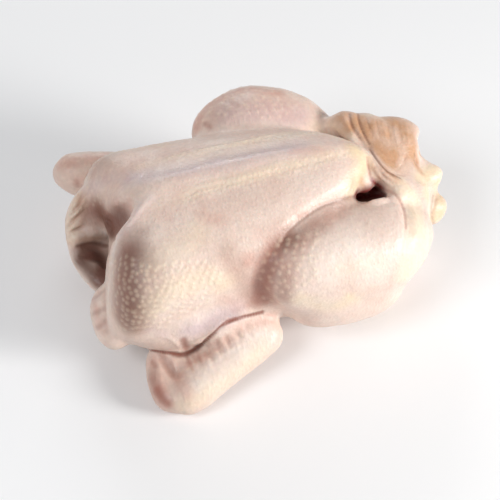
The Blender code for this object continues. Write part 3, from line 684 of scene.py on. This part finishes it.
def colour_masks(obj):
    """Per vertex, how much of each colour the skin has, painted shade and highlights among them."""
    mesh = obj.data
    skin = skin_tree(mesh)
    points = read_points(mesh)
    mirrored = points * np.array((1, -1, 1))
    for name, strokes in COLOURS.items():
        total = np.zeros(len(points))
        for reach, strength, pixels in strokes:
            line = follow_skin(skin, pixels)
            value, _ = closeness(points, line, reach / 1000)
            value *= strength
            total = np.maximum(total, value) + CROSSING * np.minimum(total, value)
            if name in FAR_SIDE_COLOURS:
                twin, _ = closeness(mirrored, line, reach / 1000)
                total = np.maximum(total, twin * strength * FAR_SIDE_COLOURS[name])
        for x, y, z, reach, strength in HIDDEN_COLOURS.get(name, []):
            gap = np.linalg.norm(points - np.array((x, y, z)) / 1000, axis=1) / (reach / 1000)
            total = np.maximum(total, np.clip(1 - gap**2, 0, 1) ** 1.5 * strength)
        paint(obj, name, total)


def feather_map(obj):
    """A map whose two directions run along the bird and around it, in decimetres."""
    mesh = obj.data
    points = read_points(mesh)
    around = np.arctan2(points[:, 1], points[:, 2] - ROUND_HEIGHT) * ROUND_REACH
    layer = mesh.uv_layers.new(name="feather_rows")
    corners = np.empty(len(mesh.loops), int)
    mesh.loops.foreach_get("vertex_index", corners)
    values = np.stack([points[corners, 0], around[corners]], axis=1) * MAP_SCALE
    layer.data.foreach_set("uv", values.ravel())


def add_node(tree, kind, **values):
    """A new node with the given settings."""
    node = tree.nodes.new(kind)
    for key, value in values.items():
        setattr(node, key, value)
    return node


def blend_colour(tree, factor, first, second):
    """A mix of two colours; each input is a socket or a plain value."""
    node = add_node(tree, "ShaderNodeMix", data_type="RGBA", clamp_factor=True)
    for index, value in ((0, factor), (6, first), (7, second)):
        if isinstance(value, bpy.types.NodeSocket):
            tree.links.new(value, node.inputs[index])
        elif index:
            node.inputs[index].default_value = (*value, 1)
        else:
            node.inputs[index].default_value = value
    return node.outputs[2]


def calculate(tree, operation, *values, clamp=False):
    """One step of arithmetic; each value is a socket or a number."""
    node = add_node(tree, "ShaderNodeMath", operation=operation, use_clamp=clamp)
    for index, value in enumerate(values):
        if isinstance(value, bpy.types.NodeSocket):
            tree.links.new(value, node.inputs[index])
        else:
            node.inputs[index].default_value = value
    return node.outputs[0]


def speckle(tree, where, scale, detail=4.0):
    """Soft noise stretched to run from 0 to 1."""
    cloud = add_node(tree, "ShaderNodeTexNoise")
    cloud.inputs["Scale"].default_value = scale
    cloud.inputs["Detail"].default_value = detail
    tree.links.new(where, cloud.inputs["Vector"])
    span = add_node(tree, "ShaderNodeMapRange", clamp=True)
    tree.links.new(cloud.outputs["Fac"], span.inputs["Value"])
    span.inputs["From Min"].default_value = 0.35
    span.inputs["From Max"].default_value = 0.65
    return span.outputs["Result"]


def painted(tree, name):
    """The value that each vertex has under a name."""
    return add_node(tree, "ShaderNodeAttribute", attribute_name=name).outputs["Fac"]


def raw_skin_material(look):
    """Moist raw skin: painted colours, with painted shade and highlights among them, over mottled flesh, with
    pores and fine crinkles as a bump.
    """
    material = bpy.data.materials.new("raw_skin")
    material.use_nodes = True
    tree = material.node_tree
    shader = tree.nodes["Principled BSDF"]
    place = add_node(tree, "ShaderNodeTexCoord").outputs["Object"]

    blotches = speckle(tree, place, BLOTCHES, detail=3)
    mottle = speckle(tree, place, MOTTLE)
    grain = speckle(tree, place, GRAIN)
    ravel = calculate(tree, "MULTIPLY_ADD", mottle, 0.5, 0.75)

    colour = blend_colour(tree, calculate(tree, "MULTIPLY", blotches, 0.45), look.skin, look.pale)
    colour = blend_colour(tree, calculate(tree, "MULTIPLY", mottle, 0.16), colour, look.flush)
    for name, strength in RAGGED_LAYERS.items():
        amount = calculate(tree, "MULTIPLY", painted(tree, name), ravel)
        colour = blend_colour(tree, calculate(tree, "MULTIPLY", amount, strength), colour,
                              getattr(look, name))
    for name, tint, strength in CLEAR_LAYERS:
        amount = calculate(tree, "MULTIPLY", painted(tree, name), strength)
        colour = blend_colour(tree, amount, colour, getattr(look, tint))
    lightness = add_node(tree, "ShaderNodeHueSaturation")
    tree.links.new(colour, lightness.inputs["Color"])
    tree.links.new(calculate(tree, "MULTIPLY_ADD", grain, 0.08, 0.96), lightness.inputs["Value"])
    tree.links.new(lightness.outputs["Color"], shader.inputs["Base Color"])

    rows = add_node(tree, "ShaderNodeUVMap", uv_map="feather_rows").outputs["UV"]
    pores = add_node(tree, "ShaderNodeTexVoronoi", voronoi_dimensions="2D")
    pores.inputs["Scale"].default_value = PORES
    pores.inputs["Randomness"].default_value = 0.75
    tree.links.new(rows, pores.inputs["Vector"])
    pit = calculate(tree, "SUBTRACT", 0.35, pores.outputs["Distance"], clamp=True)
    fine = calculate(tree, "MULTIPLY_ADD", grain, 0.30, calculate(tree, "MULTIPLY", pit, 1.2))
    crinkle = add_node(tree, "ShaderNodeTexNoise")
    crinkle.inputs["Scale"].default_value = CRINKLE
    crinkle.inputs["Detail"].default_value = 2
    tree.links.new(place, crinkle.inputs["Vector"])
    fine = calculate(tree, "MULTIPLY_ADD", crinkle.outputs["Fac"], 0.35, fine)
    bump = add_node(tree, "ShaderNodeBump")
    bump.inputs["Strength"].default_value = 0.6
    bump.inputs["Distance"].default_value = 0.00045
    tree.links.new(fine, bump.inputs["Height"])
    tree.links.new(bump.outputs["Normal"], shader.inputs["Normal"])

    rough = calculate(tree, "MULTIPLY_ADD", mottle, 0.14, look.roughness - 0.07)
    wet = calculate(tree, "MULTIPLY", painted(tree, "keel"), 0.10)
    tree.links.new(calculate(tree, "SUBTRACT", rough, wet, clamp=True), shader.inputs["Roughness"])
    shader.inputs["Coat Weight"].default_value = look.moisture
    shader.inputs["Coat Roughness"].default_value = 0.34
    shader.inputs["Subsurface Weight"].default_value = 0.16
    shader.inputs["Subsurface Radius"].default_value = (1.0, 0.42, 0.28)
    shader.inputs["Subsurface Scale"].default_value = 0.004
    shader.inputs["IOR"].default_value = 1.40
    return material


class SkinLook(bpy.types.PropertyGroup):
    """Colours and surface of the bird's skin."""
    skin: FloatVectorProperty(name="Skin", description="Plain skin", subtype="COLOR", size=3,
                              default=srgb(226, 202, 188))
    # Also the colour of painted highlights on the collar, web ridge, near leg and breast
    pale: FloatVectorProperty(name="Pale skin", description="Lighter patches of skin", subtype="COLOR",
                              size=3, default=srgb(238, 222, 211))
    fat: FloatVectorProperty(name="Fat", description="Yellow fat seen through the skin", subtype="COLOR",
                             size=3, default=srgb(240, 222, 190))
    # Pink flesh seen through the skin; also laid under painted shade to warm it
    flush: FloatVectorProperty(name="Flush", description="Pink flesh seen through the skin",
                               subtype="COLOR", size=3, default=srgb(208, 160, 144))
    keel: FloatVectorProperty(name="Keel", description="Lilac-grey muscle under tight skin",
                              subtype="COLOR", size=3, default=srgb(214, 192, 190))
    tan: FloatVectorProperty(name="Hock skin", description="Tan skin of the hocks", subtype="COLOR",
                             size=3, default=srgb(203, 158, 124))
    # Painted shade: brown darkening in hollows, creases and on the sides turned from the light
    shade: FloatVectorProperty(name="Hollows", description="Brown skin in hollows and creases",
                               subtype="COLOR", size=3, default=srgb(100, 60, 44))
    # Red-brown of real blood spots, and of painted shade in folds, creases and on the dark flank
    blood: FloatVectorProperty(name="Blood", description="Red-brown blood spots, also the tint of the folds",
                               subtype="COLOR", size=3, default=srgb(160, 84, 66))
    cavity: FloatVectorProperty(name="Cavity", description="Dark inside of the body", subtype="COLOR",
                                size=3, default=srgb(120, 40, 38))
    follicle: FloatVectorProperty(name="Follicles", description="Tips of the feather follicles",
                                  subtype="COLOR", size=3, default=srgb(246, 228, 202))
    roughness: FloatProperty(name="Roughness", description="Dullness of the skin", subtype="FACTOR",
                             default=0.44, min=0, max=1)
    moisture: FloatProperty(name="Moisture", description="Wet film on the skin", subtype="FACTOR",
                            default=0.18, min=0, max=1)


class SkinRelief(bpy.types.PropertyGroup):
    """How far folds, follicles and soft flesh stand out."""
    folds: FloatProperty(name="Folds", description="Depth of the folds, 1 as modelled", default=1.0,
                         min=0, max=2)
    follicles: FloatProperty(name="Follicles", description="Height of the follicles, 1 as modelled",
                             default=1.0, min=0, max=3)
    flesh: FloatProperty(name="Soft flesh", description="Unevenness of the flesh", subtype="DISTANCE",
                         unit="LENGTH", default=0.0005, min=0, max=0.002)


class StudioLook(bpy.types.PropertyGroup):
    """Floor and lights."""
    floor: FloatVectorProperty(name="Floor", description="Colour of the floor", subtype="COLOR", size=3,
                               default=(0.94, 0.943, 0.95))
    floor_size: FloatProperty(name="Floor size", description="Width of the floor", subtype="DISTANCE",
                              unit="LENGTH", default=6.0, min=1)
    key: FloatProperty(name="Key light", description="Power of the low light on the right",
                       subtype="POWER", unit="POWER", default=14.0, min=0)
    fill: FloatProperty(name="Fill light", description="Power of the soft light on the left",
                        subtype="POWER", unit="POWER", default=5.5, min=0)
    back: FloatProperty(name="Back light", description="Power of the soft light behind",
                        subtype="POWER", unit="POWER", default=4.0, min=0)
    sky: FloatProperty(name="Sky", description="Strength of the even light all round", default=0.25,
                       min=0)


class CHICKEN_OT_skin(bpy.types.Operator):
    """Build the bird's skin with its folds, follicles and colours"""
    bl_idname = "chicken.skin"
    bl_label = "Skin"

    def execute(self, context):
        relief = context.scene.chicken_relief
        obj = base_skin()
        refine(obj, detail_mask(read_points(obj.data), skin_tree(obj.data)))
        loose_skin(obj, relief.flesh)
        shift = press_folds(obj, relief.folds)
        mound = raise_follicles(obj, relief.follicles)
        colour_masks(obj)
        # Painted shade in the folds, darker the deeper the fold is pressed in
        paint(obj, "fold", shift / -DARK_FOLD)
        paint(obj, "mound", mound)
        feather_map(obj)
        obj.data.materials.clear()
        obj.data.materials.append(raw_skin_material(context.scene.chicken_look))
        obj.data.shade_smooth()
        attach(obj, "root")
        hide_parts(BIRD)
        return {"FINISHED"}


def aimed(name, data, place, target):
    """A lamp or camera at a place, turned to look at its target."""
    obj = bpy.data.objects.new(name, data)
    bpy.context.scene.collection.objects.link(obj)
    obj.location = place
    obj.rotation_mode = "QUATERNION"
    obj.rotation_quaternion = (Vector(target) - Vector(place)).to_track_quat("-Z", "Y")
    return obj


def soft_light(name, place, power, size, tint):
    """A round lamp that the camera doesn't see."""
    light = bpy.data.lights.new(name, "AREA")
    light.shape = "DISK"
    light.energy = power
    light.size = size
    light.color = tint
    aimed(name, light, place, LAMP_TARGET).visible_camera = False


class CHICKEN_OT_studio(bpy.types.Operator):
    """Set up the pale floor, the lights and the camera"""
    bl_idname = "chicken.studio"
    bl_label = "Studio"

    def execute(self, context):
        look = context.scene.chicken_studio
        bm = bmesh.new()
        bmesh.ops.create_grid(bm, x_segments=2, y_segments=2, size=look.floor_size / 2)
        mesh = bpy.data.meshes.new("floor")
        bm.to_mesh(mesh)
        bm.free()
        mesh.transform(Matrix.Translation((0, 0, FLOOR_HEIGHT)))
        floor = bpy.data.objects.new("floor", mesh)
        context.scene.collection.objects.link(floor)
        paper = bpy.data.materials.new("pale_floor")
        paper.use_nodes = True
        matt = paper.node_tree.nodes["Principled BSDF"]
        matt.inputs["Base Color"].default_value = (*look.floor, 1)
        matt.inputs["Roughness"].default_value = 1.0
        matt.inputs["Specular IOR Level"].default_value = 0.0
        mesh.materials.append(paper)

        for name, (place, size, tint) in LAMPS.items():
            soft_light(name, place, getattr(look, name), size, tint)
        world = bpy.data.worlds.new("studio")
        world.use_nodes = True
        sky = world.node_tree.nodes["Background"]
        sky.inputs["Color"].default_value = (1, 1, 1, 1)
        sky.inputs["Strength"].default_value = look.sky
        context.scene.world = world
        context.scene.view_settings.view_transform = "Standard"

        _, _, back = view_axes()
        lens = bpy.data.cameras.new("camera")
        lens.lens = LENS
        lens.sensor_width = SENSOR
        lens.clip_start = 0.01
        camera = aimed("camera", lens, CAMERA_TARGET + back * CAMERA_DISTANCE, CAMERA_TARGET)
        context.scene.camera = camera
        return {"FINISHED"}


class CHICKEN_PT_panel(bpy.types.Panel):
    """The operators and their settings"""
    bl_idname = "CHICKEN_PT_panel"
    bl_label = "Whole raw chicken"
    bl_space_type = "VIEW_3D"
    bl_region_type = "UI"
    bl_category = "Chicken"

    def draw(self, context):
        layout = self.layout
        for operator in (CHICKEN_OT_studio, CHICKEN_OT_skin):
            layout.operator(operator.bl_idname)
        for group in (context.scene.chicken_look, context.scene.chicken_relief,
                      context.scene.chicken_studio):
            for name in group.__annotations__:
                layout.prop(group, name)


CLASSES = (SkinLook, SkinRelief, StudioLook, CHICKEN_OT_skin, CHICKEN_OT_studio, CHICKEN_PT_panel)


def register():
    for kind in CLASSES:
        bpy.utils.register_class(kind)
    bpy.types.Scene.chicken_look = PointerProperty(type=SkinLook)
    bpy.types.Scene.chicken_relief = PointerProperty(type=SkinRelief)
    bpy.types.Scene.chicken_studio = PointerProperty(type=StudioLook)


def unregister():
    del bpy.types.Scene.chicken_look
    del bpy.types.Scene.chicken_relief
    del bpy.types.Scene.chicken_studio
    for kind in reversed(CLASSES):
        bpy.utils.unregister_class(kind)


def main():
    register()
    bpy.ops.chicken.studio()
    bpy.ops.chicken.skin()


if __name__ == "__main__":
    main()
